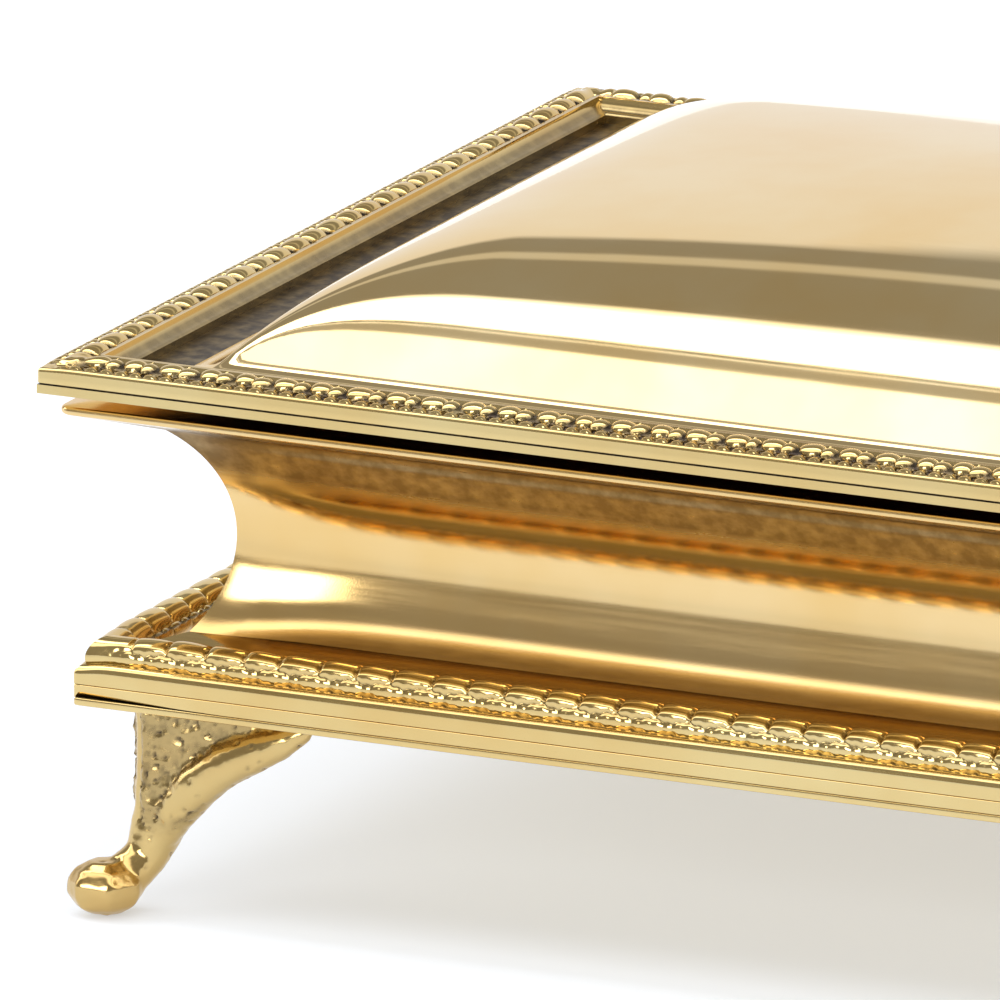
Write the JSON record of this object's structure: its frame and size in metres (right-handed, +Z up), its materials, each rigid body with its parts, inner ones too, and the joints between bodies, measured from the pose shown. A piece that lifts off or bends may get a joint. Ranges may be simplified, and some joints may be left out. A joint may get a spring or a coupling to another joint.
{
  "type": "needle case",
  "caption": "Footed brass needle case with a hinged pillow-domed lid, concave walls, gadroon mouldings and a padded floor.",
  "frame": {"origin": "on the floor, under the middle of the lid outline", "axes": "+X to the right along the front, +Y from the front to the hinged back, +Z up"},
  "size_m": [0.16, 0.096, 0.0556],
  "materials": {
    "polished_brass": "mirror polished, fine scratches",
    "satin_brass": "polished with a slight satin grain",
    "moulding_brass": "polished highs, dark patina in the recesses",
    "brass_sheet": "aged sheet, patinated in the lid channel",
    "cast_brass": "cast and polished, pitted in the hollows",
    "hinge_brass": "satin",
    "hinge_pin_steel": "plain wire",
    "velvet": "short pile velvet"
  },
  "bodies": {
    "case": {"base_frame": "brass_sheet", "bottom_plate": "brass_sheet", "needle_pad": "velvet", "wall_front": "satin_brass", "wall_right": "satin_brass", "wall_back": "satin_brass", "wall_left": "satin_brass", "base_moulding_front": "moulding_brass", "base_moulding_right": "moulding_brass", "base_moulding_back": "moulding_brass", "base_moulding_left": "moulding_brass", "liner_front": "velvet", "liner_right": "velvet", "liner_back": "velvet", "liner_left": "velvet", "hinge_body_leaf_left": "hinge_brass", "hinge_body_leaf_right": "hinge_brass", "hinge_pin_left": "hinge_pin_steel", "hinge_pin_right": "hinge_pin_steel", "foot_front_left": "cast_brass", "foot_front_right": "cast_brass", "foot_back_left": "cast_brass", "foot_back_right": "cast_brass"},
    "lid": {"lid_plate": "brass_sheet", "lid_dome": "polished_brass", "lid_liner": "velvet", "lid_moulding_front": "moulding_brass", "lid_moulding_right": "moulding_brass", "lid_moulding_back": "moulding_brass", "lid_moulding_left": "moulding_brass", "hinge_lid_leaf_left": "hinge_brass", "hinge_lid_leaf_right": "hinge_brass"}
  },
  "joints": [
    {"name": "lid_hinge", "type": "hinge", "parent": "case", "child": "lid", "pos_m": [0, 0.0467, 0.04158], "axis": [-1, 0, 0], "range_deg": [0, 108]}
  ]
}
